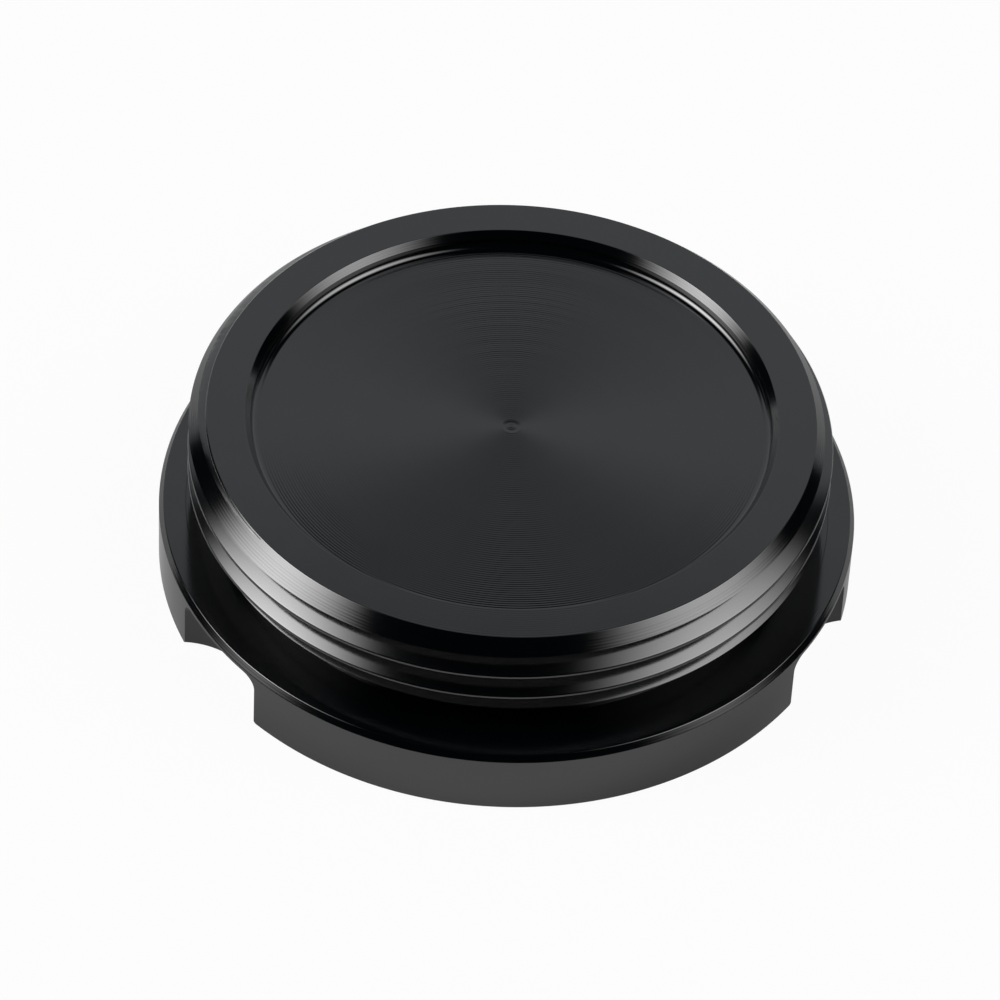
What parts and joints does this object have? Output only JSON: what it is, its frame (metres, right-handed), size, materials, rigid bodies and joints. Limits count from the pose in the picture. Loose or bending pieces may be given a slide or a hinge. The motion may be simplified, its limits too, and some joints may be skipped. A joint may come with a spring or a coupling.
{
  "type": "oil filler cap",
  "caption": "Low round screw cap with a male threaded plug, a sealing flange and a grip with milled finger scallops; one turned piece, black anodised.",
  "frame": {"origin": "centre of the outer face of the grip, on which the cap stands", "axes": "+Z along the thread axis, from the grip towards the end of the plug; +Y through the middle of one finger scallop"},
  "size_m": [0.049, 0.049, 0.0135],
  "materials": {
    "anodised_metal": "black anodised, fine turned"
  },
  "bodies": {
    "root": {"cap_body": "anodised_metal"}
  },
  "joints": []
}
